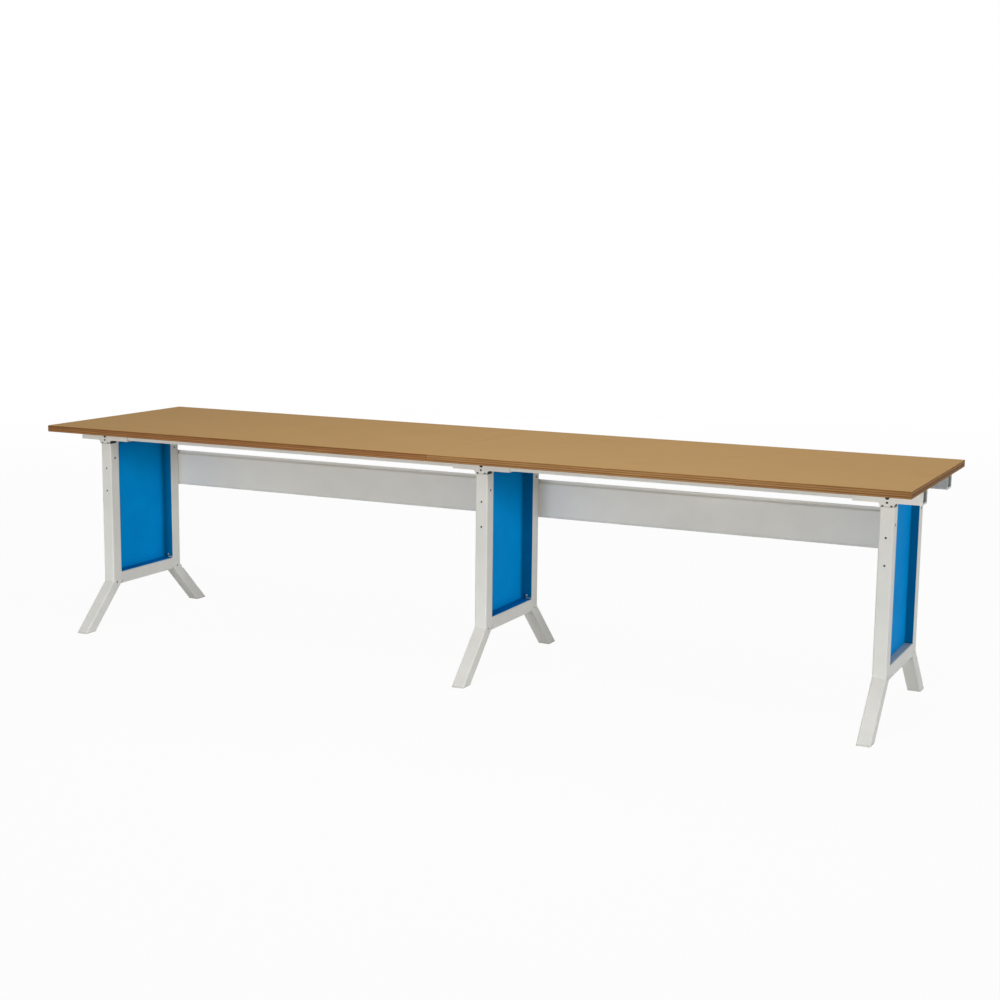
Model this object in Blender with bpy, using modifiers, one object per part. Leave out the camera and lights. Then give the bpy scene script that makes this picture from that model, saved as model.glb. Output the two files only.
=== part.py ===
# A height-adjustable work table: two plywood tops in a row, on three stands with telescopic posts.
# +X runs along the table, +Y to its rear, +Z up. The origin is on the floor under its centre.

import math

import bmesh
import bpy
from mathutils import Matrix

for item in list(bpy.data.objects):
    bpy.data.objects.remove(item, do_unlink=True)

# Gaps between pieces that touch, and between pieces that slide
SEAT_GAP = 0.0003
SLIDE_GAP = 0.0003

# Work tops, shown at their lowest height
SURFACE_HEIGHT = 0.738
TOP_LENGTH = 1.500
TOP_DEPTH = 0.750
TOP_THICKNESS = 0.022
TOP_EDGE_ROUND = 0.0012
TRAVEL = 0.300

# Rails under the tops, and the sleeves that join the left ones to the right ones
RAIL_DEPTH = 0.050
RAIL_HEIGHT = 0.038
RAIL_WALL = 0.002
RAIL_CORNER = 0.003
RAIL_INSET = 0.005
JOINER_LENGTH = 0.200
JOINER_WALL = 0.003

# Saddles that carry the rails, with a stem and two wings that come down to the post
SADDLE_LENGTH = 0.201
SADDLE_SHEET = 0.003
SADDLE_PLATE = 0.0037
SADDLE_FLANGE = 0.033
STEM_HEIGHT = 0.0123
STEM_FILLET = 0.008
STEM_CLEARANCE = 0.0016
WING_SHEET = 0.002
WING_DEPTH = 0.014
WELD_STEP = 0.0004
SLOT_SPACING = 0.0256
SLOT_WIDTH = 0.0068
SLOT_HEIGHT = 0.0042
FIXING_HOLE = 0.005
FIXING_RISE = 0.0009
LOCATING_HOLE = 0.0126
LOCATING_RISE = 0.0153

# Posts and their holes, measured down from the post's top edge
POST_WIDTH = 0.042
POST_DEPTH = 0.046
POST_WALL = 0.002
POST_CORNER = 0.004
POST_SPREAD = 0.392
CLAMP_DROP = 0.053
UPPER_HOLE_DROP = 0.089
LOWER_HOLE_DROP = 0.170
BOLT_HOLE = 0.007

# Guide bushes in the posts, and the inner tubes that slide in them
BUSH_FLANGE = 0.008
BUSH_LENGTH = 0.178
BUSH_WALL = 0.0014
INNER_WALL = 0.002
FLARE_HEIGHT = 0.018

# Clamp screws
SCREW_DIAMETER = 0.008
SCREW_PROUD = 0.0005
SOCKET_WIDTH = 0.0046
SOCKET_DEPTH = 0.0025

# Splayed feet, their caps, and the beam between the posts
FOOT_REACH = 0.709
FOOT_HEIGHT = 0.161
SOLE_LENGTH = 0.053
VENT_HOLE = 0.0065
VENT_DROP = 0.0047
CAP_THICKNESS = 0.003
CAP_PLUG = 0.012
BEAM_HEIGHT = 0.043
BEAM_DROP = 0.014

# Side panels, folded from sheet, and how far each one's face lies behind the stand's right side
PANEL_SHEET = 0.0015
PANEL_RISE = 0.005
PANEL_BEND = 0.002
PANEL_LIP_SETBACK = 0.001
RELIEF_LENGTH = 0.020
RELIEF_HEIGHT = 0.0055
PANEL_RECESS = 0.037
RIGHT_PANEL_RECESS = 0.0245

# Stretchers behind the rear posts: a flat face between two folds that lean back, with a lip above
STRETCHER_SHEET = 0.0015
STRETCHER_HEIGHT = 0.1305
STRETCHER_LOWER_FOLD = 0.010
STRETCHER_UPPER_FOLD = 0.006
STRETCHER_FOLD_DEPTH = 0.007
STRETCHER_LIP = 0.008
STRETCHER_FLANGE = 0.012
STRETCHER_BEND = 0.003
STRETCHER_MARGIN = 0.026
STRETCHER_INSET = 0.008

CORNER_STEPS = 4
ROUND_SIDES = 16
CUT_PAST = 0.004

# Heights that follow from the sizes above, from the tops down to the posts
rail_top = SURFACE_HEIGHT - TOP_THICKNESS - SEAT_GAP
rail_bottom = rail_top - RAIL_HEIGHT
saddle_bottom = rail_bottom - SEAT_GAP - SADDLE_PLATE
post_top = saddle_bottom - STEM_HEIGHT - SEAT_GAP
bush_top = post_top + SEAT_GAP + BUSH_FLANGE
# The bush ends where the flare still has the whole travel below it.
bush_bottom = max(post_top - BUSH_LENGTH, FOOT_HEIGHT + FLARE_HEIGHT + TRAVEL + 2 * SLIDE_GAP)
flare_top = bush_bottom - TRAVEL - SLIDE_GAP
tube_bottom = flare_top - FLARE_HEIGHT
beam_bottom = FOOT_HEIGHT - BEAM_DROP
beam_top = beam_bottom + BEAM_HEIGHT

# Sections that fit one inside the other, as width along X and depth along Y
bore_width = POST_WIDTH - 2 * POST_WALL
bore_depth = POST_DEPTH - 2 * POST_WALL
bore_corner = POST_CORNER - POST_WALL
sleeve_width = bore_width - 2 * SEAT_GAP
sleeve_depth = bore_depth - 2 * SEAT_GAP
tube_width = sleeve_width - 2 * BUSH_WALL - 2 * SLIDE_GAP
tube_depth = sleeve_depth - 2 * BUSH_WALL - 2 * SLIDE_GAP

# Places of the stands along X, and of the posts along Y
stand_offset = RAIL_INSET + SADDLE_LENGTH / 2
stand_places = {
    "left": -TOP_LENGTH + stand_offset,
    "middle": stand_offset,
    "right": TOP_LENGTH - stand_offset,
}
post_y = (POST_SPREAD - POST_DEPTH) / 2
post_gap = POST_SPREAD - 2 * POST_DEPTH
sides = (("front", -1), ("rear", 1))

# Turns that lay an outline drawn in XY into another plane
ALONG_X = (math.pi / 2, 0, math.pi / 2)
ALONG_Y = (math.pi / 2, 0, 0)


def new_collection(name):
    made = bpy.data.collections.new(name)
    bpy.context.scene.collection.children.link(made)
    return made


parts = new_collection("height_adjustable_work_table")
cutters = new_collection("cutters")


def new_material(name, colour, roughness, metallic):
    made = bpy.data.materials.new(name)
    made.use_nodes = True
    shader = made.node_tree.nodes["Principled BSDF"]
    shader.inputs["Base Color"].default_value = (*colour, 1)
    shader.inputs["Roughness"].default_value = roughness
    shader.inputs["Metallic"].default_value = metallic
    return made


plywood = new_material("plywood", (0.43, 0.27, 0.11), 0.5, 0)
grey_paint = new_material("light_grey_powder_coat", (0.62, 0.61, 0.57), 0.45, 0)
blue_paint = new_material("blue_powder_coat", (0.0, 0.19, 0.52), 0.45, 0)
zinc = new_material("zinc_plate", (0.55, 0.56, 0.58), 0.35, 1)
black_steel = new_material("blackened_steel", (0.03, 0.03, 0.035), 0.4, 0.8)
black_plastic = new_material("black_plastic", (0.02, 0.02, 0.02), 0.5, 0)
grey_plastic = new_material("grey_plastic", (0.18, 0.18, 0.17), 0.6, 0)


def add_empty(name, location):
    made = bpy.data.objects.new(name, None)
    made.location = location
    parts.objects.link(made)
    return made


def add_part(name, mesh, parent, location, finish, rotation=(0, 0, 0)):
    made = bpy.data.objects.new(name, mesh)
    made.data.materials.append(finish)
    made.parent = parent
    made.location = location
    made.rotation_euler = rotation
    parts.objects.link(made)
    return made


def combine(target, operation, mesh, location, rotation=(0, 0, 0)):
    tool = bpy.data.objects.new(f"{target.name}.{operation.lower()}", mesh)
    tool.parent = target.parent
    tool.location = location
    tool.rotation_euler = rotation
    tool.hide_render = True
    tool.display_type = "WIRE"
    cutters.objects.link(tool)
    boolean = target.modifiers.new(operation.title(), "BOOLEAN")
    boolean.operation = operation
    boolean.object = tool


def box(width, depth, height):
    mesh = bpy.data.meshes.new("box")
    shape = bmesh.new()
    bmesh.ops.create_cube(shape, size=1, matrix=Matrix.Diagonal((width, depth, height, 1)))
    shape.to_mesh(mesh)
    shape.free()
    return mesh


def rod(diameter, length, count=ROUND_SIDES):
    mesh = bpy.data.meshes.new("rod")
    shape = bmesh.new()
    bmesh.ops.create_cone(
        shape,
        cap_ends=True,
        segments=count,
        radius1=diameter / 2,
        radius2=diameter / 2,
        depth=length,
    )
    for face in shape.faces:
        face.smooth = len(face.verts) == 4
    shape.to_mesh(mesh)
    shape.free()
    return mesh


def rounded_rectangle(width, depth, radius):
    points = []
    for quarter, (across, along) in enumerate(((1, 1), (-1, 1), (-1, -1), (1, -1))):
        for step in range(CORNER_STEPS + 1):
            angle = (quarter + step / CORNER_STEPS) * math.pi / 2
            points.append((
                across * (width / 2 - radius) + radius * math.cos(angle),
                along * (depth / 2 - radius) + radius * math.sin(angle),
            ))
    return points


def prism(outlines, low, high, lean=0):
    # Closed outlines in XY, the second one a hole, drawn out from low to high, with Y leaning as Z grows.
    curve = bpy.data.curves.new("outline", "CURVE")
    curve.dimensions = "2D"
    curve.fill_mode = "BOTH"
    curve.extrude = (high - low) / 2
    for outline in outlines:
        spline = curve.splines.new("POLY")
        spline.points.add(len(outline) - 1)
        for point, (across, along) in zip(spline.points, outline):
            point.co = (across, along, 0, 1)
        spline.use_cyclic_u = True
    drawn = bpy.data.objects.new("outline", curve)
    cutters.objects.link(drawn)
    graph = bpy.context.evaluated_depsgraph_get()
    mesh = bpy.data.meshes.new_from_object(drawn.evaluated_get(graph))
    bpy.data.objects.remove(drawn)
    shear = Matrix.Identity(4)
    shear[1][2] = lean
    shape = bmesh.new()
    shape.from_mesh(mesh)
    bmesh.ops.remove_doubles(shape, verts=shape.verts, dist=SEAT_GAP / 100)
    bmesh.ops.recalc_face_normals(shape, faces=shape.faces)
    shape.transform(shear @ Matrix.Translation((0, 0, (low + high) / 2)))
    shape.to_mesh(mesh)
    shape.free()
    return mesh


def bent(path, reach):
    # The corners of an open path become bends that begin and end a reach away from the corner.
    points = [path[0]]
    for before, corner, after in zip(path, path[1:], path[2:]):
        ends = []
        for other in (before, after):
            share = reach / math.dist(corner, other)
            ends.append([c + share * (o - c) for c, o in zip(corner, other)])
        middle = [(first + 2 * c + last) / 4 for first, c, last in zip(ends[0], corner, ends[1])]
        points += [ends[0], middle, ends[1]]
    return points + [path[-1]]


def folded_sheet(path, length, thickness):
    # An open path in XY drawn out along Z, thickened on the right of the path.
    curve = bpy.data.curves.new("fold", "CURVE")
    curve.dimensions = "2D"
    curve.fill_mode = "NONE"
    curve.extrude = length / 2
    spline = curve.splines.new("POLY")
    spline.points.add(len(path) - 1)
    for point, (across, along) in zip(spline.points, path):
        point.co = (across, along, 0, 1)
    drawn = bpy.data.objects.new("fold", curve)
    cutters.objects.link(drawn)
    thicken = drawn.modifiers.new("Sheet", "SOLIDIFY")
    thicken.thickness = thickness
    thicken.offset = -1
    thicken.use_even_offset = True
    graph = bpy.context.evaluated_depsgraph_get()
    mesh = bpy.data.meshes.new_from_object(drawn.evaluated_get(graph))
    bpy.data.objects.remove(drawn)
    shape = bmesh.new()
    shape.from_mesh(mesh)
    bmesh.ops.recalc_face_normals(shape, faces=shape.faces)
    shape.to_mesh(mesh)
    shape.free()
    return mesh


lift = add_empty("height_lift", (0, 0, 0))
stands = {name: add_empty(f"{name}_stand", (place, 0, 0)) for name, place in stand_places.items()}


def add_top(name, direction):
    # The seam between the two tops is a seat gap wide.
    length = TOP_LENGTH - SEAT_GAP / 2
    centre = direction * (TOP_LENGTH - length / 2)
    mesh = box(length, TOP_DEPTH, TOP_THICKNESS)
    made = add_part(name, mesh, lift, (centre, 0, SURFACE_HEIGHT - TOP_THICKNESS / 2), plywood)
    edge = made.modifiers.new("Edge", "BEVEL")
    edge.width = TOP_EDGE_ROUND
    edge.segments = 2


def add_rail(name, start, end, sign):
    outer = rounded_rectangle(RAIL_DEPTH, RAIL_HEIGHT, RAIL_CORNER)
    inner = rounded_rectangle(
        RAIL_DEPTH - 2 * RAIL_WALL, RAIL_HEIGHT - 2 * RAIL_WALL, RAIL_CORNER - RAIL_WALL
    )
    height = rail_bottom + RAIL_HEIGHT / 2
    mesh = prism((outer, inner), start, end)
    made = add_part(name, mesh, lift, (0, sign * post_y, height), grey_paint, ALONG_X)
    outer_face = sign * (post_y + RAIL_DEPTH / 2)
    for place in stand_places.values():
        if start < place < end:
            locating = rod(LOCATING_HOLE, 2 * RAIL_WALL + CUT_PAST)
            combine(made, "DIFFERENCE", locating, (place, outer_face, saddle_bottom + LOCATING_RISE), ALONG_Y)


def add_joiner(name, sign):
    depth = RAIL_DEPTH - 2 * RAIL_WALL - 2 * SEAT_GAP
    height = RAIL_HEIGHT - 2 * RAIL_WALL - 2 * SEAT_GAP
    corner = RAIL_CORNER - RAIL_WALL
    outer = rounded_rectangle(depth, height, corner)
    inner = rounded_rectangle(depth - 2 * JOINER_WALL, height - 2 * JOINER_WALL, corner)
    mesh = prism((outer, inner), -JOINER_LENGTH / 2, JOINER_LENGTH / 2)
    place = (RAIL_INSET, sign * post_y, rail_bottom + RAIL_HEIGHT / 2)
    add_part(name, mesh, lift, place, zinc, ALONG_X)


def add_saddle(name, place, sign):
    # A channel that the rail lies in. On its outer side it has a stem, two slots and two holes, and on its
    # inner side two wings that stand on the post.
    inside = RAIL_DEPTH / 2 + SEAT_GAP
    outside = inside + SADDLE_SHEET
    flange_top = SADDLE_PLATE + SADDLE_FLANGE
    channel = [
        (-outside, 0),
        (outside, 0),
        (outside, flange_top),
        (inside, flange_top),
        (inside, SADDLE_PLATE),
        (-inside, SADDLE_PLATE),
        (-inside, flange_top),
        (-outside, flange_top),
    ]
    origin = (place, sign * post_y, saddle_bottom)
    mesh = prism((channel,), -SADDLE_LENGTH / 2, SADDLE_LENGTH / 2)
    made = add_part(name, mesh, lift, origin, grey_paint, ALONG_X)

    # The stem and the wings stand back a little from each other's faces, as welded sheets do. The stem ends
    # clear of the post, and the wings carry the load.
    half = POST_WIDTH / 2
    stem_end = STEM_HEIGHT - STEM_CLEARANCE
    fillet = min(STEM_FILLET, stem_end)
    overlap = SADDLE_PLATE / 2
    right_side = [(half, -stem_end)]
    for step in range(CORNER_STEPS + 1):
        angle = (1 - step / CORNER_STEPS / 2) * math.pi
        right_side.append((half + fillet + fillet * math.cos(angle), fillet * (math.sin(angle) - 1)))
    right_side.append((half + fillet, overlap))
    left_side = [(-across, height) for across, height in reversed(right_side)]
    stem = prism((right_side + left_side,), -SADDLE_SHEET / 2, SADDLE_SHEET / 2)
    outer_face = sign * (post_y + outside)
    stem_y = outer_face - sign * (SADDLE_SHEET / 2 + WELD_STEP)
    combine(made, "UNION", stem, (place, stem_y, saddle_bottom), ALONG_Y)

    wing_y = sign * (post_y - (POST_DEPTH - WING_DEPTH) / 2)
    for across in (-1, 1):
        wing = box(WING_SHEET, WING_DEPTH, STEM_HEIGHT + overlap)
        wing_x = place + across * (half - WING_SHEET / 2 - WELD_STEP)
        combine(made, "UNION", wing, (wing_x, wing_y, saddle_bottom + (overlap - STEM_HEIGHT) / 2))

    stem_bottom = saddle_bottom - stem_end
    for across in (-1, 1):
        slot = box(SLOT_WIDTH, 2 * SADDLE_SHEET + CUT_PAST, 2 * SLOT_HEIGHT)
        combine(made, "DIFFERENCE", slot, (place + across * SLOT_SPACING / 2, outer_face, stem_bottom))
    fixing = rod(FIXING_HOLE, SADDLE_SHEET)
    combine(made, "DIFFERENCE", fixing, (place, outer_face, saddle_bottom + FIXING_RISE), ALONG_Y)
    locating = rod(LOCATING_HOLE, 2 * SADDLE_SHEET + CUT_PAST)
    combine(made, "DIFFERENCE", locating, (place, outer_face, saddle_bottom + LOCATING_RISE), ALONG_Y)


def add_inner_tube(name, place, sign):
    # The flared lower end runs in the post's bore and meets the bush at the top of the travel.
    tube_top = saddle_bottom - SEAT_GAP
    origin = (place, sign * post_y, 0)
    outer = rounded_rectangle(tube_width, tube_depth, bore_corner)
    made = add_part(name, prism((outer,), tube_bottom, tube_top), lift, origin, zinc)
    flare = rounded_rectangle(sleeve_width, sleeve_depth, bore_corner)
    combine(made, "UNION", prism((flare,), tube_bottom, flare_top), origin)
    hollow = rounded_rectangle(tube_width - 2 * INNER_WALL, tube_depth - 2 * INNER_WALL, bore_corner / 2)
    combine(made, "DIFFERENCE", prism((hollow,), tube_bottom - CUT_PAST, tube_top + CUT_PAST), origin)


def add_bush(name, stand, sign):
    origin = (0, sign * post_y, 0)
    flange = rounded_rectangle(POST_WIDTH, POST_DEPTH, POST_CORNER)
    made = add_part(name, prism((flange,), post_top + SEAT_GAP, bush_top), stand, origin, black_plastic)
    sleeve = rounded_rectangle(sleeve_width, sleeve_depth, bore_corner)
    combine(made, "UNION", prism((sleeve,), bush_bottom, bush_top - BUSH_FLANGE / 2), origin)
    bore = rounded_rectangle(tube_width + 2 * SLIDE_GAP, tube_depth + 2 * SLIDE_GAP, bore_corner)
    combine(made, "DIFFERENCE", prism((bore,), bush_bottom - CUT_PAST, bush_top + CUT_PAST), origin)
    # The flange leaves room for the saddle's wings.
    room_width = 2 * (WING_SHEET + WELD_STEP + SEAT_GAP)
    room_depth = 2 * (WING_DEPTH + SEAT_GAP)
    inner_face = sign * (post_y - POST_DEPTH / 2)
    for across in (-1, 1):
        room = box(room_width, room_depth, 2 * (BUSH_FLANGE + SEAT_GAP))
        combine(made, "DIFFERENCE", room, (across * POST_WIDTH / 2, inner_face, bush_top))
    passage = rod(SCREW_DIAMETER + 4 * SEAT_GAP, POST_WIDTH / 2)
    combine(made, "DIFFERENCE", passage, (POST_WIDTH / 2, sign * post_y, post_top - CLAMP_DROP), ALONG_X)


def add_post(name, stand, sign):
    outer = rounded_rectangle(POST_WIDTH, POST_DEPTH, POST_CORNER)
    inner = rounded_rectangle(bore_width, bore_depth, bore_corner)
    mesh = prism((outer, inner), FOOT_HEIGHT, post_top)
    made = add_part(name, mesh, stand, (0, sign * post_y, 0), grey_paint)
    clamp_hole = rod(SCREW_DIAMETER + 2 * SEAT_GAP, POST_WIDTH / 2)
    combine(made, "DIFFERENCE", clamp_hole, (POST_WIDTH / 2, sign * post_y, post_top - CLAMP_DROP), ALONG_X)
    for drop in (UPPER_HOLE_DROP, LOWER_HOLE_DROP):
        bolt_hole = rod(BOLT_HOLE, POST_DEPTH / 2)
        combine(made, "DIFFERENCE", bolt_hole, (0, sign * POST_SPREAD / 2, post_top - drop), ALONG_Y)


def add_clamp_screw(name, stand, sign):
    # The screw's tip lies on the inner tube, and its outer end has a hexagon socket.
    tip = tube_width / 2 + SLIDE_GAP
    end = POST_WIDTH / 2 + SCREW_PROUD
    height = post_top - CLAMP_DROP
    place = ((tip + end) / 2, sign * post_y, height)
    made = add_part(name, rod(SCREW_DIAMETER, end - tip), stand, place, black_steel, ALONG_X)
    socket = rod(SOCKET_WIDTH, 2 * SOCKET_DEPTH, 6)
    combine(made, "DIFFERENCE", socket, (end, sign * post_y, height), ALONG_X)


# The feet lean out below the posts: their sections shift along Y by this much for each unit of height
foot_lean = (FOOT_REACH - POST_SPREAD) / 2 / FOOT_HEIGHT
foot_wall = POST_WALL * math.hypot(1, foot_lean)
foot_y = (FOOT_REACH - SOLE_LENGTH) / 2
foot_hollow = (POST_WIDTH - 2 * POST_WALL, SOLE_LENGTH - 2 * foot_wall)


def add_foot(name, stand, sign):
    outer = rounded_rectangle(POST_WIDTH, SOLE_LENGTH, POST_CORNER)
    inner = rounded_rectangle(*foot_hollow, bore_corner)
    mesh = prism((outer, inner), CAP_THICKNESS + SEAT_GAP, FOOT_HEIGHT - SEAT_GAP, -sign * foot_lean)
    made = add_part(name, mesh, stand, (0, sign * foot_y, 0), grey_paint)
    vent_height = FOOT_HEIGHT - VENT_DROP
    vent_y = sign * (post_y + foot_lean * VENT_DROP)
    combine(made, "DIFFERENCE", rod(VENT_HOLE, POST_WIDTH / 2), (POST_WIDTH / 2, vent_y, vent_height), ALONG_X)


def add_foot_cap(name, stand, sign):
    origin = (0, sign * foot_y, 0)
    sole = rounded_rectangle(POST_WIDTH, SOLE_LENGTH, POST_CORNER)
    mesh = prism((sole,), 0, CAP_THICKNESS, -sign * foot_lean)
    made = add_part(name, mesh, stand, origin, grey_plastic)
    plug = rounded_rectangle(foot_hollow[0] - 2 * SEAT_GAP, foot_hollow[1] - 4 * SEAT_GAP, bore_corner)
    plug_top = CAP_THICKNESS + CAP_PLUG
    combine(made, "UNION", prism((plug,), CAP_THICKNESS / 2, plug_top, -sign * foot_lean), origin)


def add_beam(name, stand):
    # The ends of the beam are cut away where the feet reach under it.
    outer = rounded_rectangle(POST_WIDTH, BEAM_HEIGHT, POST_CORNER)
    inner = rounded_rectangle(POST_WIDTH - 2 * POST_WALL, BEAM_HEIGHT - 2 * POST_WALL, bore_corner)
    half = post_gap / 2 - SEAT_GAP
    middle = beam_bottom + BEAM_HEIGHT / 2
    made = add_part(name, prism((outer, inner), -half, half), stand, (0, 0, middle), grey_paint, ALONG_Y)
    for _, sign in sides:
        length = SOLE_LENGTH + 4 * SEAT_GAP
        clear = rounded_rectangle(POST_WIDTH + 2 * CUT_PAST, length, POST_CORNER)
        shape = prism((clear,), beam_bottom - BEAM_HEIGHT, FOOT_HEIGHT, -sign * foot_lean)
        combine(made, "DIFFERENCE", shape, (0, sign * foot_y, 0))


def round_back(mesh, radius, all_round):
    # Rounds a box where its back is folded into lips: all round, or only at the front and the rear.
    shape = bmesh.new()
    shape.from_mesh(mesh)
    folds = [
        edge for edge in shape.edges
        if all(vert.co.x < 0 for vert in edge.verts)
        and (all_round or edge.verts[0].co.z * edge.verts[1].co.z < 0)
    ]
    bmesh.ops.bevel(shape, geom=folds, offset=radius, segments=3, profile=0.5, affect="EDGES")
    shape.to_mesh(mesh)
    shape.free()


def add_panel(name, stand, recess, closed_ends):
    # A tray of folded sheet that is open to the right, with or without a lip at its top and bottom.
    face = POST_WIDTH / 2 - recess
    lip_end = POST_WIDTH / 2 - PANEL_LIP_SETBACK
    back = face - PANEL_SHEET
    bottom = beam_top + SEAT_GAP
    height = post_top + PANEL_RISE - bottom
    depth = post_gap - 2 * SEAT_GAP
    middle = bottom + height / 2
    mesh = box(lip_end - back, depth, height)
    round_back(mesh, PANEL_BEND, closed_ends)
    made = add_part(name, mesh, stand, ((lip_end + back) / 2, 0, middle), blue_paint)
    open_height = height - 2 * PANEL_SHEET if closed_ends else height + 2 * CUT_PAST
    hollow = box(2 * (lip_end - face), depth - 2 * PANEL_SHEET, open_height)
    combine(made, "DIFFERENCE", hollow, (lip_end, 0, middle))
    if closed_ends:
        # The lips are parted at the tray's corners.
        for along in (-1, 1):
            for up in (-1, 1):
                relief = box(2 * RELIEF_LENGTH, 2 * (PANEL_SHEET + SEAT_GAP), 2 * RELIEF_HEIGHT)
                combine(made, "DIFFERENCE", relief, (lip_end, along * depth / 2, middle + up * height / 2))


def add_stretcher(name, start, end):
    lip_bottom = STRETCHER_HEIGHT - STRETCHER_LIP
    path = [
        (STRETCHER_FOLD_DEPTH + STRETCHER_FLANGE, 0),
        (STRETCHER_FOLD_DEPTH, 0),
        (0, STRETCHER_LOWER_FOLD),
        (0, lip_bottom - STRETCHER_UPPER_FOLD),
        (STRETCHER_FOLD_DEPTH, lip_bottom),
        (STRETCHER_FOLD_DEPTH, STRETCHER_HEIGHT),
    ]
    mesh = folded_sheet(bent(path, STRETCHER_BEND), end - start, STRETCHER_SHEET)
    behind = POST_SPREAD / 2 + SEAT_GAP
    bottom = post_top - LOWER_HOLE_DROP - STRETCHER_MARGIN
    made = add_part(name, mesh, None, ((start + end) / 2, behind, bottom), grey_paint, ALONG_X)
    for place in stand_places.values():
        for drop in (UPPER_HOLE_DROP, LOWER_HOLE_DROP):
            hole = rod(BOLT_HOLE, POST_DEPTH / 2)
            combine(made, "DIFFERENCE", hole, (place, behind, post_top - drop), ALONG_Y)


add_top("left_top", -1)
add_top("right_top", 1)

rail_end = TOP_LENGTH - RAIL_INSET
for side, sign in sides:
    add_rail(f"left_{side}_rail", -rail_end, RAIL_INSET - SEAT_GAP, sign)
    add_rail(f"right_{side}_rail", RAIL_INSET, rail_end, sign)
    add_joiner(f"{side}_rail_joiner", sign)

panel_recesses = {"left": PANEL_RECESS, "middle": PANEL_RECESS, "right": RIGHT_PANEL_RECESS}
for stand_name, stand in stands.items():
    for side, sign in sides:
        label = f"{stand_name}_{side}"
        add_post(f"{label}_post", stand, sign)
        add_foot(f"{label}_foot", stand, sign)
        add_foot_cap(f"{label}_foot_cap", stand, sign)
        add_bush(f"{label}_guide_bush", stand, sign)
        add_clamp_screw(f"{label}_clamp_screw", stand, sign)
        add_inner_tube(f"{label}_inner_tube", stand_places[stand_name], sign)
        add_saddle(f"{label}_saddle", stand_places[stand_name], sign)
    add_beam(f"{stand_name}_cross_beam", stand)
    add_panel(f"{stand_name}_side_panel", stand, panel_recesses[stand_name], stand_name != "right")

stretcher_reach = POST_WIDTH / 2 - STRETCHER_INSET
add_stretcher("left_stretcher", stand_places["left"] - stretcher_reach, stand_places["middle"] - SEAT_GAP)
add_stretcher("right_stretcher", stand_places["middle"] + SEAT_GAP, stand_places["right"] + stretcher_reach)
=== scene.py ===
import math

import bmesh
import bpy
from mathutils import Matrix, Vector


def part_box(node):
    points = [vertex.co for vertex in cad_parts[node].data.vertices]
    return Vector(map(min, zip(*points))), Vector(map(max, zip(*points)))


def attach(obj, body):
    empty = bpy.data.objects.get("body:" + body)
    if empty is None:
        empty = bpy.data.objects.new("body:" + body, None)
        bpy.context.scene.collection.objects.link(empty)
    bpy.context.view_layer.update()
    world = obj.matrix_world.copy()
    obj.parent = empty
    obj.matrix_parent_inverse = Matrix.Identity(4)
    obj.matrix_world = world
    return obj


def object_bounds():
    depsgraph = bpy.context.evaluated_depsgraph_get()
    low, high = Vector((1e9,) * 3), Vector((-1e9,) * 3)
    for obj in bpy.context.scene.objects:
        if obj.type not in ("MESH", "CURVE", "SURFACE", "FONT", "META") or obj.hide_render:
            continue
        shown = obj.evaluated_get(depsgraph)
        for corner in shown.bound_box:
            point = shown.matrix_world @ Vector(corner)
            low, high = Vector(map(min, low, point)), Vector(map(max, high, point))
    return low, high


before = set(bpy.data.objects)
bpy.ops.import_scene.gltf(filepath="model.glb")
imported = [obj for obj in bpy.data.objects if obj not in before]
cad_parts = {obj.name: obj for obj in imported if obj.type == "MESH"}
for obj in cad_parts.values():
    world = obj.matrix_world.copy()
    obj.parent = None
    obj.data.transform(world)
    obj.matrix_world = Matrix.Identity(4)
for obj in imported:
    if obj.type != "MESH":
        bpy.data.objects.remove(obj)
cadLow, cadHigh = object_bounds()

# Solids that finishes and new pieces are set against. All lengths are in metres.
standNames = ("left", "middle", "right")
sideSigns = {"front": -1, "rear": 1}
boardLow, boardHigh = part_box("left_top")
railLow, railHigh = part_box("left_rear_rail")
trayLow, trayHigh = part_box("left_side_panel")
postLow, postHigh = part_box("left_rear_post")
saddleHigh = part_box("left_rear_saddle")[1]
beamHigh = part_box("left_cross_beam")[1]
postMiddleY = (postLow.y + postHigh.y) / 2
standX = {}
for stand in standNames:
    low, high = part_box(f"{stand}_front_post")
    standX[stand] = (low.x + high.x) / 2


def linear(hexColour):  # sRGB hex to linear colour
    parts = [int(hexColour[i:i + 2], 16) / 255 for i in (1, 3, 5)]
    return [p / 12.92 if p <= 0.04045 else ((p + 0.055) / 1.055) ** 2.4 for p in parts] + [1.0]


def newMaterial(name):
    made = bpy.data.materials.new(name)
    made.use_nodes = True
    made.node_tree.nodes.clear()
    return made


def addNode(material, kind, settings={}, values={}, links={}):  # links: input -> output socket
    made = material.node_tree.nodes.new("ShaderNode" + kind)
    for name, value in settings.items():
        setattr(made, name, value)
    for name, value in values.items():
        made.inputs[name].default_value = value
    for name, source in links.items():
        material.node_tree.links.new(source, made.inputs[name])
    return made


def fromTo(fromRange=(0, 1), toRange=(0, 1)):  # the four numbers that map one range to another
    return dict(zip(("From Min", "From Max", "To Min", "To Max"), (*fromRange, *toRange)))


# Settings that several finishes share
colourMix = {"data_type": "RGBA"}
colourTimes = {"data_type": "RGBA", "blend_type": "MULTIPLY"}
softStep = {"interpolation_type": "SMOOTHSTEP"}
absolute = {"operation": "ABSOLUTE"}
larger = {"operation": "MAXIMUM"}
difference = {"operation": "SUBTRACT"}
product = {"operation": "MULTIPLY"}

# Powder coat: polyester powder baked on steel. Satin, with a faint orange peel and a little mottling.
coatLook = {
    "peelSize": 0.003,  # real peel is about 1 mm, drawn coarser so that it shows
    "peelDetail": 2.0,
    "peelDepth": 0.00006,
    "peelStrength": 0.5,
    "cloudSize": 0.09,
    "cloudDetail": 3.0,
    "cloudRange": (0.3, 0.7),
    "roughness": (0.42, 0.56),
    "ior": 1.5,
}
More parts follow.
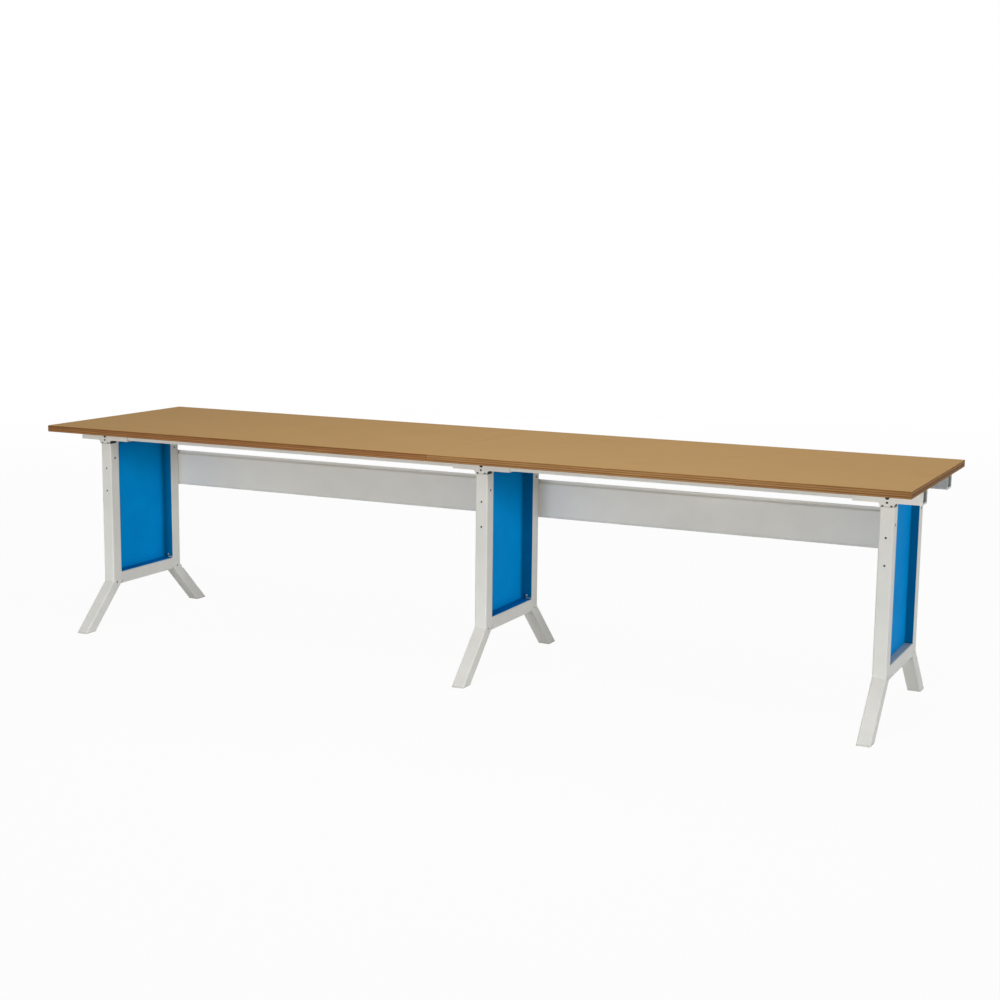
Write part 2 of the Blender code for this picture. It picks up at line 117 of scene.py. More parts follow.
# Painted shade in the folds of a tray: a darker tint on its lips and inner corners, standing in for the
# shade there; where that shade starts and is full, inwards from its edges
foldShadeLook = {
    "side": (0.0247, 0.0015),
    "lower": (0.0247, -0.0403),  # never quite full, so the lower lip stays lighter
    "upper": (0.0261, 0.0015),
    "tint": (0.55, 0.66, 0.56),
}
# Powder gets a few millimetres into the open ends of the rails, and bare steel shows behind; its darker
# colour is also painted shade inside the open rails
railLook = {
    "steelWithShade": "#97A3A5",
    "side": 0.0015,  # within the wall
    "floor": 0.0011,
    "end": (0.0025, 0.0055),  # where the powder starts to fade, and where it is gone
}


# Painted shade: tints the tray's lips and inner corners darker
def paintFoldShade(material, colour, place):
    split = addNode(material, "SeparateXYZ", {}, {}, {"Vector": place})
    aside = addNode(material, "Math", absolute, {}, {0: split.outputs["Y"]})
    folds = (
        (aside.outputs["Value"], [trayHigh.y - inset for inset in foldShadeLook["side"]]),
        (split.outputs["Z"], [trayLow.z + inset for inset in foldShadeLook["lower"]]),
        (split.outputs["Z"], [trayHigh.z - inset for inset in foldShadeLook["upper"]]),
    )
    depth = None
    for source, reach in folds:
        near = addNode(material, "MapRange", softStep, fromTo(reach), {"Value": source}).outputs["Result"]
        if depth is None:
            depth = near
        else:
            depth = addNode(material, "Math", larger, {}, {0: depth, 1: near}).outputs["Value"]
    return addNode(material, "Mix", colourTimes, {"B": (*foldShadeLook["tint"], 1)},
                   {"Factor": depth, "A": colour}).outputs["Result"]


# Bare steel and painted shade: a darker colour inside the open rail ends
def railBareSteelAndShade(material, colour, place):
    railMiddleY = (railLow.y + railHigh.y) / 2
    railInside = (railHigh.y - railLow.y) / 2 - railLook["side"]
    split = addNode(material, "SeparateXYZ", {}, {}, {"Vector": place})
    aside = addNode(material, "Math", absolute, {}, {0: split.outputs["Y"]})
    within = addNode(material, "Math", {"operation": "COMPARE"}, {1: railMiddleY, 2: railInside},
                     {0: aside.outputs["Value"]})
    above = addNode(material, "Math", {"operation": "GREATER_THAN"},
                    {1: railLow.z + railLook["floor"]}, {0: split.outputs["Z"]})
    along = addNode(material, "Math", absolute, {}, {0: split.outputs["X"]})
    deep = addNode(material, "MapRange", softStep,
                   fromTo([-railLow.x - inset for inset in railLook["end"]]),
                   {"Value": along.outputs["Value"]})
    inside = addNode(material, "Math", product, {},
                     {0: within.outputs["Value"], 1: above.outputs["Value"]})
    inside = addNode(material, "Math", product, {},
                     {0: inside.outputs["Value"], 1: deep.outputs["Result"]})
    return addNode(material, "Mix", colourMix, {"B": linear(railLook["steelWithShade"])},
                   {"Factor": inside.outputs["Value"], "A": colour}).outputs["Result"]


def powderCoat(name, light, dark, specular, shadeAndBareMetal):
    made = newMaterial(name)
    place = addNode(made, "TexCoord").outputs["Object"]
    cloud = addNode(made, "TexNoise", {},
                    {"Scale": 1 / coatLook["cloudSize"], "Detail": coatLook["cloudDetail"]},
                    {"Vector": place})
    peel = addNode(made, "TexNoise", {},
                   {"Scale": 1 / coatLook["peelSize"], "Detail": coatLook["peelDetail"]},
                   {"Vector": place}).outputs["Fac"]
    shade = addNode(made, "ValToRGB", {}, {}, {"Fac": cloud.outputs["Fac"]})
    for stop, position, tone in zip(shade.color_ramp.elements, coatLook["cloudRange"], (dark, light)):
        stop.position = position
        stop.color = linear(tone)
    # Painted shade, and bare steel inside the rails, go into the colour here
    colour = shadeAndBareMetal(made, shade.outputs["Color"], place)
    gloss = addNode(made, "MapRange", {}, fromTo(toRange=coatLook["roughness"]), {"Value": peel})
    bump = addNode(made, "Bump", {},
                   {"Strength": coatLook["peelStrength"], "Distance": coatLook["peelDepth"]},
                   {"Height": peel})
    paint = addNode(made, "BsdfPrincipled", {},
                    {"IOR": coatLook["ior"], "Specular IOR Level": specular},
                    {"Base Color": colour, "Roughness": gloss.outputs["Result"],
                     "Normal": bump.outputs["Normal"]})
    addNode(made, "OutputMaterial", {}, {}, {"Surface": paint.outputs["BSDF"]})
    return made


# Grey coat: bare steel and painted shade inside the rail ends; blue coat: painted shade in the tray folds
greyPowderCoat = powderCoat("greyPowderCoat", "#D9D9D5", "#D4D4D0", 0.3, railBareSteelAndShade)
bluePowderCoat = powderCoat("bluePowderCoat", "#0092DF", "#008CD8", 0.008, paintFoldShade)

# Multiplex board: beech plies glued in a press, then sanded and sealed.
# A hard tan face with fine fibres, and light and dark plies at the edges.
boardLook = {
    "face": ("#AB854D", "#B28C54"),
    "cloudSize": 1 / 6,
    "cloudDetail": 3.0,
    "grainSize": (0.120, 0.004),  # along and across the board
    "grainDetail": 4.0,
    "grainRoughness": 0.6,
    "grainDepth": 0.00015,
    "grainStrength": 0.35,
    "fleck": "#9B774C",
    "fleckRange": (0.56, 0.72),
    "fleckMost": 0.35,
    "plies": 7,
    "plyLight": "#A88154",
    "plyDark": "#835C32",
    "plyRange": (0.3, 0.7),
    "waver": 0.3,  # in plies
    "waverSize": 1 / 18,
    "waverDetail": 2.0,
    "glueLine": "#6B4726",
    "streakRange": (0.35, 0.75),
    "streakMost": 0.5,
    "darkPlyDepth": (0.0045, 0.0165),  # below the face, in the left and the right board
    "darkPlyHalf": (0.0028, 0.0006),
    "darkPlyMost": 0.55,
    "edgeTint": (  # share of the table's length, and tint
        (0.0, (0.80, 0.70, 0.66)),
        (0.499, (0.90, 0.80, 0.77)),
        (0.501, (1, 1, 1)),
        (0.8, (1, 1, 1)),
        (1.0, (0.88, 0.86, 0.82)),
    ),
    "endGrain": "#4A2E14",
    "coreDepth": 0.0115,
    "coreHalf": (0.0030, 0.0008),
    "coreMost": 0.75,
    "faceRange": (0.55, 0.9),  # how far a normal points up or down on a face
    "roughness": (0.6, 0.75),
    "ior": 1.5,
    "specular": 0.1,
}


def boardFace(made, place, grain):  # tan, with darker flecks along the grain
    cloud = addNode(made, "TexNoise", {},
                    {"Scale": 1 / boardLook["cloudSize"], "Detail": boardLook["cloudDetail"]},
                    {"Vector": place})
    first, second = (linear(tone) for tone in boardLook["face"])
    tone = addNode(made, "Mix", colourMix, {"A": first, "B": second}, {"Factor": cloud.outputs["Fac"]})
    fleck = addNode(made, "MapRange", {},
                    fromTo(boardLook["fleckRange"], (0, boardLook["fleckMost"])), {"Value": grain})
    return addNode(made, "Mix", colourMix, {"B": linear(boardLook["fleck"])},
                   {"Factor": fleck.outputs["Result"], "A": tone.outputs["Result"]}).outputs["Result"]


def boardPlies(made, place, height, grain):  # light and dark plies in turn, with glue in the grain
    depth = addNode(made, "MapRange", {"clamp": False},
                    fromTo((boardLow.z, boardHigh.z), (0, boardLook["plies"])), {"Value": height})
    waver = addNode(made, "TexNoise", {},
                    {"Scale": 1 / boardLook["waverSize"], "Detail": boardLook["waverDetail"]},
                    {"Vector": place})
    shift = addNode(made, "Math", {"operation": "MULTIPLY_ADD"},
                    {1: boardLook["waver"], 2: -boardLook["waver"] / 2}, {0: waver.outputs["Fac"]})
    level = addNode(made, "Math", {"operation": "ADD"}, {},
                    {0: depth.outputs["Result"], 1: shift.outputs["Value"]})
    pair = addNode(made, "Math", {"operation": "PINGPONG"}, {1: 1.0}, {0: level.outputs["Value"]})
    share = addNode(made, "MapRange", softStep, fromTo(boardLook["plyRange"]),
                    {"Value": pair.outputs["Value"]})
    ply = addNode(made, "Mix", colourMix,
                  {"A": linear(boardLook["plyDark"]), "B": linear(boardLook["plyLight"])},
                  {"Factor": share.outputs["Result"]})
    streak = addNode(made, "MapRange", {},
                     fromTo(boardLook["streakRange"], (0, boardLook["streakMost"])), {"Value": grain})
    return addNode(made, "Mix", colourMix, {"B": linear(boardLook["glueLine"])},
                   {"Factor": streak.outputs["Result"], "A": ply.outputs["Result"]}).outputs["Result"]


def darkPly(made, edge, along, height):  # one ply in each board is darker
    whichBoard = addNode(made, "Math", {"operation": "GREATER_THAN"}, {1: 0.0}, {0: along})
    plyHeight = addNode(made, "MapRange", {},
                        fromTo(toRange=[boardHigh.z - depth for depth in boardLook["darkPlyDepth"]]),
                        {"Value": whichBoard.outputs["Value"]})
    off = addNode(made, "Math", difference, {}, {0: height, 1: plyHeight.outputs["Result"]})
    off = addNode(made, "Math", absolute, {}, {0: off.outputs["Value"]})
    share = addNode(made, "MapRange", softStep,
                    fromTo(boardLook["darkPlyHalf"], (0, boardLook["darkPlyMost"])),
                    {"Value": off.outputs["Value"]})
    return addNode(made, "Mix", colourMix, {"B": linear(boardLook["glueLine"])},
                   {"Factor": share.outputs["Result"], "A": edge}).outputs["Result"]


def edgeDrift(made, edge, along):  # the edge's tint drifts along the table
    share = addNode(made, "MapRange", {}, fromTo((cadLow.x, cadHigh.x)), {"Value": along})
    tint = addNode(made, "ValToRGB", {}, {}, {"Fac": share.outputs["Result"]})
    stops = tint.color_ramp.elements
    for count, (position, colour) in enumerate(boardLook["edgeTint"]):
        stop = stops[count] if count < 2 else stops.new(position)  # a new ramp has two stops
        stop.position = position
        stop.color = (*colour, 1)
    return addNode(made, "Mix", colourTimes, {"Factor": 1.0},
                   {"A": edge, "B": tint.outputs["Color"]}).outputs["Result"]


def endGrain(made, edge, height, facing):  # at the board's ends the core shows dark end grain
    isEnd = addNode(made, "Math", absolute, {}, {0: facing.outputs["X"]})
    off = addNode(made, "Math", difference, {1: boardHigh.z - boardLook["coreDepth"]}, {0: height})
    off = addNode(made, "Math", absolute, {}, {0: off.outputs["Value"]})
    core = addNode(made, "MapRange", softStep,
                   fromTo(boardLook["coreHalf"], (0, boardLook["coreMost"])),
                   {"Value": off.outputs["Value"]})
    share = addNode(made, "Math", product, {}, {0: isEnd.outputs["Value"], 1: core.outputs["Result"]})
    return addNode(made, "Mix", colourMix, {"B": linear(boardLook["endGrain"])},
                   {"Factor": share.outputs["Value"], "A": edge}).outputs["Result"]


def multiplexBoard():
    made = newMaterial("multiplexBoard")
    coord = addNode(made, "TexCoord")
    place = coord.outputs["Object"]
    split = addNode(made, "SeparateXYZ", {}, {}, {"Vector": place})
    facing = addNode(made, "SeparateXYZ", {}, {}, {"Vector": coord.outputs["Normal"]})
    along, height = split.outputs["X"], split.outputs["Z"]
    grainLength, grainWidth = boardLook["grainSize"]
    stretch = addNode(made, "Mapping", {}, {"Scale": (grainWidth / grainLength, 1, 1)}, {"Vector": place})
    grain = addNode(made, "TexNoise", {},
                    {"Scale": 1 / grainWidth, "Detail": boardLook["grainDetail"],
                     "Roughness": boardLook["grainRoughness"]},
                    {"Vector": stretch.outputs["Vector"]}).outputs["Fac"]
    face = boardFace(made, place, grain)
    edge = boardPlies(made, place, height, grain)
    edge = darkPly(made, edge, along, height)
    edge = edgeDrift(made, edge, along)
    edge = endGrain(made, edge, height, facing)
    flat = addNode(made, "Math", absolute, {}, {0: facing.outputs["Z"]})
    isFace = addNode(made, "MapRange", softStep, fromTo(boardLook["faceRange"]),
                     {"Value": flat.outputs["Value"]})
    colour = addNode(made, "Mix", colourMix, {},
                     {"Factor": isFace.outputs["Result"], "A": edge, "B": face})
    gloss = addNode(made, "MapRange", {}, fromTo(toRange=boardLook["roughness"]), {"Value": grain})
    bump = addNode(made, "Bump", {},
                   {"Strength": boardLook["grainStrength"], "Distance": boardLook["grainDepth"]},
                   {"Height": grain})
    wood = addNode(made, "BsdfPrincipled", {},
                   {"IOR": boardLook["ior"], "Specular IOR Level": boardLook["specular"]},
                   {"Base Color": colour.outputs["Result"], "Roughness": gloss.outputs["Result"],
                    "Normal": bump.outputs["Normal"]})
    addNode(made, "OutputMaterial", {}, {}, {"Surface": wood.outputs["BSDF"]})
    return made


beechMultiplex = multiplexBoard()

# Plain finishes in two close tones, mixed by a fine or a cloudy speckle
speckLook = {"detail": 4.0, "strength": 0.4}
plainLook = {
    "zincPlatedSteel": {  # plated fasteners: bright and a little cloudy
        "light": "#D2D5D8", "dark": "#C0C4C8", "roughness": (0.28, 0.45), "metallic": 1.0,
        "specular": 0.5, "speckSize": 0.012, "speckDepth": 0.00004,
    },
    "galvanisedSteel": {  # drawn tube: a duller, cloudy blue-grey
        "light": "#95999D", "dark": "#83878B", "roughness": (0.34, 0.5), "metallic": 1.0,
        "specular": 0.5, "speckSize": 0.012, "speckDepth": 0.00004,
    },
    "blackOxideSteel": {  # blackened screws: nearly black, with hardly a shine
        "light": "#232324", "dark": "#161617", "roughness": (0.45, 0.6), "metallic": 0.0,
        "specular": 0.1, "speckSize": 0.002, "speckDepth": 0.00003,
    },
    "oiledSteel": {  # turned set screws: a mid grey with a soft, oily gleam
        "light": "#6C6D6F", "dark": "#565759", "roughness": (0.4, 0.55), "metallic": 0.3,
        "specular": 0.5, "speckSize": 0.002, "speckDepth": 0.00003,
    },
    "blackNylon": {  # moulded bushes and plugs: black, half matt and finely grained
        "light": "#1B1B1B", "dark": "#121212", "roughness": (0.45, 0.6), "metallic": 0.0,
        "specular": 0.3, "speckSize": 0.0015, "speckDepth": 0.00005,
    },
    "greyPolyethylene": {  # moulded foot caps: pale grey, a little waxy and finely grained
        "light": "#CFCECA", "dark": "#C6C5C1", "roughness": (0.5, 0.65), "metallic": 0.0,
        "specular": 0.5, "speckSize": 0.0015, "speckDepth": 0.00005,
    },
}


def plainFinish(name, look):
    made = newMaterial(name)
    place = addNode(made, "TexCoord").outputs["Object"]
    speck = addNode(made, "TexNoise", {},
                    {"Scale": 1 / look["speckSize"], "Detail": speckLook["detail"]},
                    {"Vector": place}).outputs["Fac"]
    tone = addNode(made, "Mix", colourMix, {"A": linear(look["dark"]), "B": linear(look["light"])},
                   {"Factor": speck})
    gloss = addNode(made, "MapRange", {}, fromTo(toRange=look["roughness"]), {"Value": speck})
    bump = addNode(made, "Bump", {}, {"Strength": speckLook["strength"], "Distance": look["speckDepth"]},
                   {"Height": speck})
    surface = addNode(made, "BsdfPrincipled", {},
                      {"Metallic": look["metallic"], "Specular IOR Level": look["specular"]},
                      {"Base Color": tone.outputs["Result"], "Roughness": gloss.outputs["Result"],
                       "Normal": bump.outputs["Normal"]})
    addNode(made, "OutputMaterial", {}, {}, {"Surface": surface.outputs["BSDF"]})
    return made


plain = {name: plainFinish(name, look) for name, look in plainLook.items()}
zincPlate, blackNylon = plain["zincPlatedSteel"], plain["blackNylon"]

finishOf = {
    "_top": beechMultiplex,
    "_side_panel": bluePowderCoat,
    "_foot_cap": plain["greyPolyethylene"],
    "_guide_bush": blackNylon,
    "_clamp_screw": plain["oiledSteel"],
    "_inner_tube": plain["galvanisedSteel"],
    "_joiner": plain["galvanisedSteel"],
}
for name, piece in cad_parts.items():
    finish = next((m for ending, m in finishOf.items() if name.endswith(ending)), greyPowderCoat)
    piece.data.materials.clear()
    piece.data.materials.append(finish)
print("materials on", len(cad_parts), "CAD nodes")

# New pieces: fasteners, plugs and welds that the solids leave out
mergeGap = 1e-6
endFacing = 0.9  # a normal that points this far along Z belongs to an end face


def addPiece(name, shape, finish, body, sharpAngle=35):
    bmesh.ops.remove_doubles(shape, verts=shape.verts, dist=mergeGap)
    bmesh.ops.recalc_face_normals(shape, faces=shape.faces)
    for face in shape.faces:
        face.smooth = True
    mesh = bpy.data.meshes.new(name)
    shape.to_mesh(mesh)
    shape.free()
    mesh.set_sharp_from_angle(angle=math.radians(sharpAngle))
    mesh.materials.append(finish)
    piece = bpy.data.objects.new(name, mesh)
    bpy.context.scene.collection.objects.link(piece)
    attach(piece, body)


def put(shape, spot, facing):  # +Z of the shape is turned to the facing
    turn = Vector((0, 0, 1)).rotation_difference(Vector(facing)).to_matrix().to_4x4()
    bmesh.ops.transform(shape, matrix=Matrix.Translation(spot) @ turn, verts=shape.verts)


def turned(profile, closed=False, steps=24):  # radius and height pairs, spun about Z
    shape = bmesh.new()
    verts = [shape.verts.new((radius, 0, height)) for radius, height in profile]
    edges = [shape.edges.new(pair) for pair in zip(verts, verts[1:])]
    if closed:
        edges.append(shape.edges.new((verts[-1], verts[0])))
    bmesh.ops.spin(shape, geom=verts + edges, cent=(0, 0, 0), axis=(0, 0, 1), dvec=(0, 0, 0),
                   angle=2 * math.pi, steps=steps, use_merge=True)
    bmesh.ops.remove_doubles(shape, verts=shape.verts, dist=mergeGap)
    return shape


# Pan heads: a low dome with a six-point socket, and a short shank below it
panHeadLook = {
    "dome": ((0.62, 0.95), (0.86, 0.72), (1.0, 0.32), (0.97, 0.0)),  # shares of radius and height
    "socketPoints": 6,
}


def cutDrive(shape, width, lobe):  # pulls a round socket into points
    for vert in shape.verts:
        if 0 < vert.co.xy.length < width / 2 + mergeGap and vert.co.z > 0:
            angle = math.atan2(vert.co.y, vert.co.x)
            pull = 1 - lobe * (1 - math.cos(panHeadLook["socketPoints"] * angle)) / 2
            vert.co.x *= pull
            vert.co.y *= pull


def panHead(look):
    radius, height, length = look["head"] / 2, look["height"], look["length"]
    socket, depth, shank = look["socket"] / 2, look["depth"], look["shank"] / 2
    dome = [(out * radius, up * height) for out, up in panHeadLook["dome"]]
    shape = turned([
        (0, height - depth), (socket, height - depth), (socket, height),
        *dome, (shank, 0), (shank, -length), (0, -length),
    ])
    cutDrive(shape, look["socket"], look["lobe"])
    return shape


# Panel screws: zinc pan heads on the lips of the left and the middle tray
panelScrewLook = {
    "head": 0.0085, "height": 0.0036, "socket": 0.0034, "depth": 0.0014, "lobe": 0.28,
    "shank": 0.004, "length": 0.001, "aside": 0.0025, "rise": 0.0125, "sheet": 0.0015,
}
for stand in ("left", "middle"):
    low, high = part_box(f"{stand}_side_panel")
    for side, sign in sideSigns.items():
        screw = panHead(panelScrewLook)
        spot = (
            standX[stand] + panelScrewLook["aside"],
            sign * (high.y - panelScrewLook["sheet"]),
            low.z + panelScrewLook["rise"],
        )
        put(screw, spot, (0, -sign, 0))
        addPiece(f"{stand}_{side}_panelScrew", screw, zincPlate, "base")

# Stretcher bolts: hexagon heads on washers, behind the rear posts
stretcherBoltLook = {
    "across": 0.0115, "height": 0.0042, "chamfer": 0.0005, "shank": 0.006, "length": 0.012,
    "drops": (0.089, 0.170), "sheet": 0.0015, "gap": 0.0003,
}
washerLook = {
    "width": 0.016, "hole": 0.0066, "sheet": 0.0014, "steps": 32,
    "rim": (0.96, 0.75),  # where the rounding starts, as shares of radius and sheet
}


def washer():
    outer, inner, sheet = washerLook["width"] / 2, washerLook["hole"] / 2, washerLook["sheet"]
    rimOut, rimUp = washerLook["rim"]
    return turned([(inner, 0), (outer, 0), (outer, rimUp * sheet), (rimOut * outer, sheet), (inner, sheet)],
                  closed=True, steps=washerLook["steps"])


def hexagonBolt(look):  # the head is centred on the origin, with its shank on -Z
    corner = look["across"] / math.sqrt(3)
    shape = bmesh.new()
    bmesh.ops.create_cone(shape, cap_ends=True, segments=6, radius1=corner, radius2=corner,
                          depth=look["height"])
    outerEnd = [f for f in shape.faces if f.normal.z > endFacing]
    bmesh.ops.bevel(shape, geom=list(outerEnd[0].edges), offset=look["chamfer"], affect="EDGES",
                    segments=2, profile=0.5, material=-1)
    innerEnd = [f for f in shape.faces if f.normal.z < -endFacing]
    bmesh.ops.inset_region(shape, faces=innerEnd, thickness=(look["across"] - look["shank"]) / 2)
    pushed = bmesh.ops.extrude_face_region(shape, geom=innerEnd)["geom"]
    bmesh.ops.translate(shape, verts=[v for v in pushed if isinstance(v, bmesh.types.BMVert)],
                        vec=(0, 0, -look["length"]))
    bmesh.ops.delete(shape, geom=innerEnd, context="FACES_ONLY")
    return shape


washerBack = postHigh.y + stretcherBoltLook["gap"] + stretcherBoltLook["sheet"]
boltMiddle = washerBack + washerLook["sheet"] + stretcherBoltLook["height"] / 2
for stand in standNames:
    for place, drop in zip(("upper", "lower"), stretcherBoltLook["drops"]):
        ring = washer()
        put(ring, (standX[stand], washerBack, postHigh.z - drop), (0, 1, 0))
        addPiece(f"{stand}_{place}_stretcherWasher", ring, zincPlate, "base")
        bolt = hexagonBolt(stretcherBoltLook)
        put(bolt, (standX[stand], boltMiddle, postHigh.z - drop), (0, 1, 0))
        addPiece(f"{stand}_{place}_stretcherBolt", bolt, zincPlate, "base")

# Saddle screws: black low heads that fix each saddle to its tube
saddleScrewLook = {
    "head": 0.0064, "height": 0.0013, "socket": 0.0028, "depth": 0.0011, "lobe": 0.14,
    "shank": 0.0044, "length": 0.0014, "rise": 0.0009,
}
# Rail plugs: black, dished plugs in the locating holes
railPlugLook = {
    "width": 0.0124, "depth": 0.0028, "recess": 0.0004, "rise": 0.0153,
    "dish": 0.0006, "dishCurve": ((0.0, 1.0), (0.7, 0.8), (0.84, 0.0)),  # shares of radius and dish
    "rim": 0.95, "rimFall": 0.0003,
}
saddleDrop = 0.0040  # the saddle's plate and its gap, under the rail


def railPlug(look):
    radius, depth = look["width"] / 2, look["depth"]
    dish = [(out * radius, -down * look["dish"]) for out, down in look["dishCurve"]]
    rim = [(look["rim"] * radius, 0), (radius, -look["rimFall"])]
    return turned([*dish, *rim, (radius, -depth), (0, -depth)])


saddleFoot = railLow.z - saddleDrop
for stand in standNames:
    for side, sign in sideSigns.items():
        label = f"{stand}_{side}"
        screw = panHead(saddleScrewLook)
        screwSpot = (standX[stand], sign * saddleHigh.y, saddleFoot + saddleScrewLook["rise"])
        put(screw, screwSpot, (0, sign, 0))
        addPiece(f"{label}_saddleScrew", screw, plain["blackOxideSteel"], "lift")
        plug = railPlug(railPlugLook)
        plugY = sign * (saddleHigh.y - railPlugLook["recess"])
        put(plug, (standX[stand], plugY, saddleFoot + railPlugLook["rise"]), (0, sign, 0))
        addPiece(f"{label}_railPlug", plug, blackNylon, "lift")

# Top screws: zinc pan heads under the rails that hold the work tops
topScrewLook = {
    "head": 0.010, "height": 0.0030, "socket": 0.0042, "depth": 0.0016, "lobe": 0.28,
    "shank": 0.005, "length": 0.001, "shares": (0.2, 0.5, 0.8),
}
for half in ("left", "right"):
    for side, sign in sideSigns.items():
        low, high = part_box(f"{half}_{side}_rail")
        for count, share in enumerate(topScrewLook["shares"], 1):
            screw = panHead(topScrewLook)
            put(screw, (low.x + share * (high.x - low.x), sign * postMiddleY, low.z), (0, 0, -1))
            addPiece(f"{half}_{side}_topScrew.{count}", screw, zincPlate, "lift")

# Welds: a bead round each kink between post and foot, and upright beads where the beam meets the posts
kinkWeldLook = {
    "reach": 0.0015, "proud": 0.0005, "wall": 0.0008, "corner": 0.004, "cornerSteps": 4,
    "cuts": (-0.5, 0, 0.5),  # shares of the reach, where the back gets its roundness
    "lean": 0.984,  # the foot's slope below the kink
}
beamWeldLook = {
    "thick": 0.0030, "wide": 0.0050, "round": 0.0012, "roundSteps": 3,
    "proud": 0.0002, "inset": 0.002,
}
weldSharpAngle = 60


def kinkBead(look, size, sign):
    reach = look["reach"]
    bead = bmesh.new()
    bmesh.ops.create_cube(bead, size=1, matrix=Matrix.Diagonal((size.x, size.y, 2 * reach, 1)))
    upright = [e for e in bead.edges if abs(e.verts[0].co.z - e.verts[1].co.z) > reach]
    bmesh.ops.bevel(bead, geom=upright, offset=look["corner"], affect="EDGES",
                    segments=look["cornerSteps"], profile=0.5, material=-1)
    ends = [f for f in bead.faces if abs(f.normal.z) > endFacing]
    bmesh.ops.delete(bead, geom=ends, context="FACES")
    for level in look["cuts"]:
        bmesh.ops.bisect_plane(bead, geom=bead.verts[:] + bead.edges[:] + bead.faces[:],
                               plane_co=(0, 0, level * reach), plane_no=(0, 0, 1))
    for vert in bead.verts:  # a round back, and a lean below the kink
        share = vert.co.z / reach
        swell = look["proud"] * (1 - share * share)
        vert.co.x *= 1 + 2 * swell / size.x
        vert.co.y *= 1 + 2 * swell / size.y
        if share < 0:
            vert.co.y -= sign * look["lean"] * vert.co.z
    bmesh.ops.recalc_face_normals(bead, faces=bead.faces)
    bmesh.ops.solidify(bead, geom=bead.faces[:], thickness=look["wall"])
    return bead


def beamBead(look, tall):
    bead = bmesh.new()
    bmesh.ops.create_cube(bead, size=1, matrix=Matrix.Diagonal((look["thick"], look["wide"], tall, 1)))
    bmesh.ops.bevel(bead, geom=bead.edges[:], offset=look["round"], affect="EDGES",
                    segments=look["roundSteps"], profile=0.5, material=-1)
    return bead


for stand in standNames:
    for side, sign in sideSigns.items():
        low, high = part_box(f"{stand}_{side}_post")
        size, middle = high - low, (low + high) / 2
        bead = kinkBead(kinkWeldLook, size, sign)
        put(bead, (middle.x, middle.y, low.z), (0, 0, 1))
        addPiece(f"{stand}_{side}_kinkWeld", bead, greyPowderCoat, "base",
                 weldSharpAngle)
        innerY = low.y if sign > 0 else high.y
        aside = size.x / 2 - beamWeldLook["thick"] / 2 + beamWeldLook["proud"]
        for across, hand in ((-1, "left"), (1, "right")):
            bead = beamBead(beamWeldLook, beamHigh.z - postLow.z)
            spot = (
                standX[stand] + across * aside,
                innerY + sign * beamWeldLook["inset"],
                (beamHigh.z + postLow.z) / 2,
            )
            put(bead, spot, (0, 0, 1))
            addPiece(f"{stand}_{side}_{hand}_beamWeld", bead, greyPowderCoat, "base",
                     weldSharpAngle)

# Floor: matt and pale, white to the camera, with the table's soft shadow
floorLook = {"size": 60.0, "drop": 0.0005, "colour": "#E4E4E1", "glow": (0.95, 1.0), "fade": (2.5, 9.0)}


def seenDirectly(material):  # 1 for what the camera sees, also in metal or through glass
    rays = addNode(material, "LightPath").outputs
    seen = addNode(material, "Math", larger, {}, {0: rays["Is Camera Ray"], 1: rays["Is Glossy Ray"]})
    seen = addNode(material, "Math", larger, {}, {0: seen.outputs["Value"], 1: rays["Is Transmission Ray"]})
    return seen.outputs["Value"]


shape = bmesh.new()
bmesh.ops.create_grid(shape, x_segments=1, y_segments=1, size=floorLook["size"] / 2)
bmesh.ops.translate(shape, verts=shape.verts, vec=(0, 0, -floorLook["drop"]))
floorMesh = bpy.data.meshes.new("floor")
shape.to_mesh(floorMesh)
shape.free()
floor = bpy.data.objects.new("floor", floorMesh)
bpy.context.scene.collection.objects.link(floor)
floorPaint = newMaterial("paleFloor")
place = addNode(floorPaint, "TexCoord").outputs["Object"]
reach = addNode(floorPaint, "VectorMath", {"operation": "LENGTH"}, {}, {0: place})
paleness = addNode(floorPaint, "MapRange", softStep, fromTo(floorLook["fade"], floorLook["glow"]),
                   {"Value": reach.outputs["Value"]})
share = addNode(floorPaint, "Math", product, {},
                {0: seenDirectly(floorPaint), 1: paleness.outputs["Result"]})
matt = addNode(floorPaint, "BsdfDiffuse", {}, {"Color": linear(floorLook["colour"])})
glow = addNode(floorPaint, "Emission", {}, {"Strength": 1.0})
both = addNode(floorPaint, "MixShader", {}, {},
               {"Fac": share.outputs["Value"], 1: matt.outputs["BSDF"], 2: glow.outputs["Emission"]})
addNode(floorPaint, "OutputMaterial", {}, {}, {"Surface": both.outputs["Shader"]})
floor.data.materials.append(floorPaint)

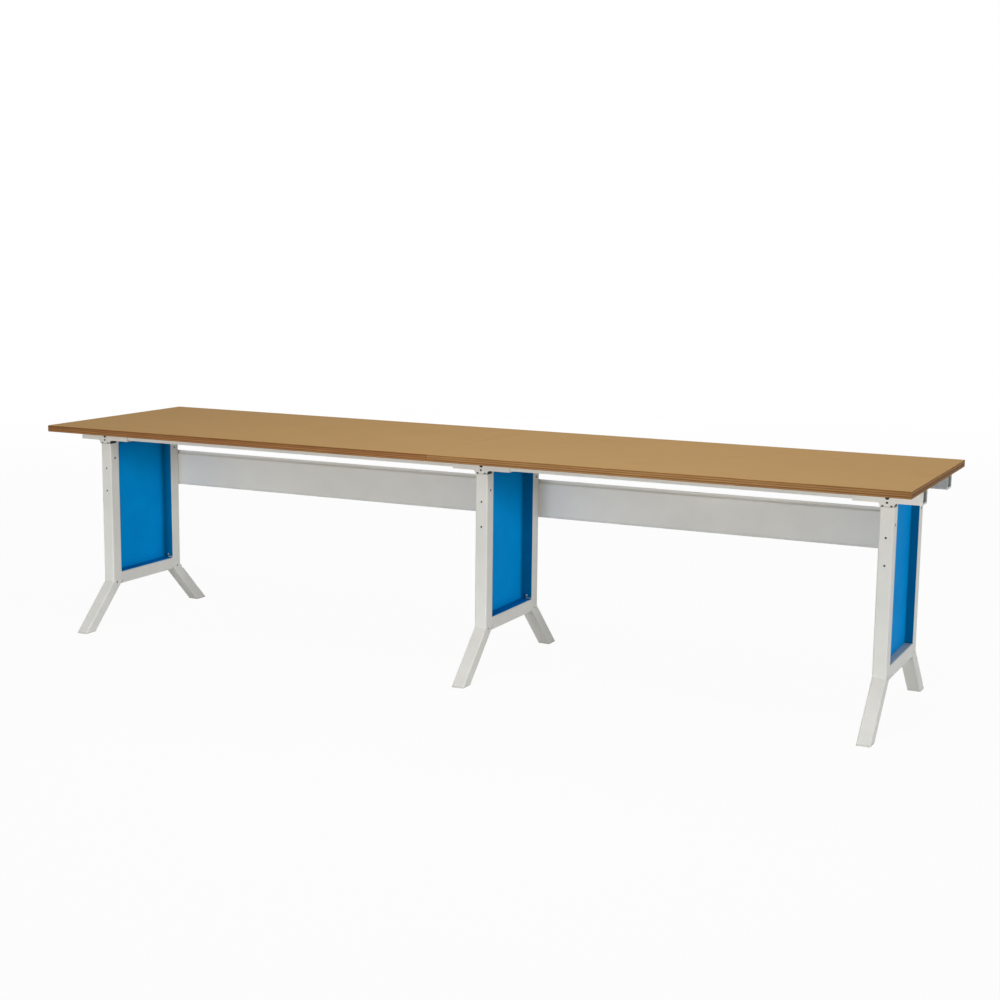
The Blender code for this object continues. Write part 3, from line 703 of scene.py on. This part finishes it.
# World: white to the camera, and a weak, even light on the table
roomLook = {"strength": 0.2, "white": 1.0}
world = bpy.data.worlds.new("studio")
bpy.context.scene.world = world
world.use_nodes = True
world.node_tree.nodes.clear()
level = addNode(world, "MapRange", {}, fromTo(toRange=(roomLook["strength"], roomLook["white"])),
                {"Value": seenDirectly(world)})
air = addNode(world, "Background", {}, {"Color": (1, 1, 1, 1)}, {"Strength": level.outputs["Result"]})
addNode(world, "OutputWorld", {}, {}, {"Surface": air.outputs["Background"]})

# Softboxes: place, aim, size and power in watts
lampLook = {
    "rearOverheadSoftbox": ((-0.2, 3.0, 4.5), (-0.1, 0.0, 0.5), (5.0, 2.0), 76.0),
    "frontOverheadSoftbox": ((0.8, -1.35, 3.4), (0.4, -0.3, 0.0), (2.4, 0.8), 48.0),
    "frontSoftbox": ((-1.0, -5.5, 1.8), (0, 0, 0.5), (1.6, 1.6), 26.0),
    "farFrontSoftbox": ((-1.0, -20.0, 0.9), (0, 0, 0.5), (3.0, 1.2), 1320.0),
    "farRightSoftbox": ((90.0, -33.0, 12.0), (0, 0, 0.5), (20.0, 15.0), 36000.0),
    "rearLeftSoftbox": ((-3.5, 6.5, 0.4), (0, 0, 0.4), (3.0, 0.6), 90.0),
}
for name, (spot, aim, size, power) in lampLook.items():
    lamp = bpy.data.lights.new(name, "AREA")
    lamp.shape = "RECTANGLE"
    lamp.size, lamp.size_y = size
    lamp.energy = power
    holder = bpy.data.objects.new(name, lamp)
    holder.location = spot
    holder.rotation_euler = (Vector(aim) - Vector(spot)).to_track_quat("-Z", "Y").to_euler()
    bpy.context.scene.collection.objects.link(holder)
print("floor, world and", len(lampLook), "softboxes")

# Camera at the photo's angle, for a square picture
cameraLook = {
    "spot": (2.45097, -4.86992, 1.41566),
    "yaw": 0.4538,
    "pitch": 0.1587,
    "roll": 0.0114,
    "lens": 59.906,
    "sensor": 36.0,
}
cameraData = bpy.data.cameras.new("camera")
cameraData.lens = cameraLook["lens"]
cameraData.sensor_width = cameraLook["sensor"]
camera = bpy.data.objects.new("camera", cameraData)
turn = (
    Matrix.Rotation(cameraLook["yaw"], 4, "Z")
    @ Matrix.Rotation(math.pi / 2 - cameraLook["pitch"], 4, "X")
    @ Matrix.Rotation(cameraLook["roll"], 4, "Z")
)
camera.matrix_world = Matrix.Translation(cameraLook["spot"]) @ turn
bpy.context.scene.collection.objects.link(camera)
bpy.context.scene.camera = camera

bpy.context.scene.view_settings.view_transform = "Standard"
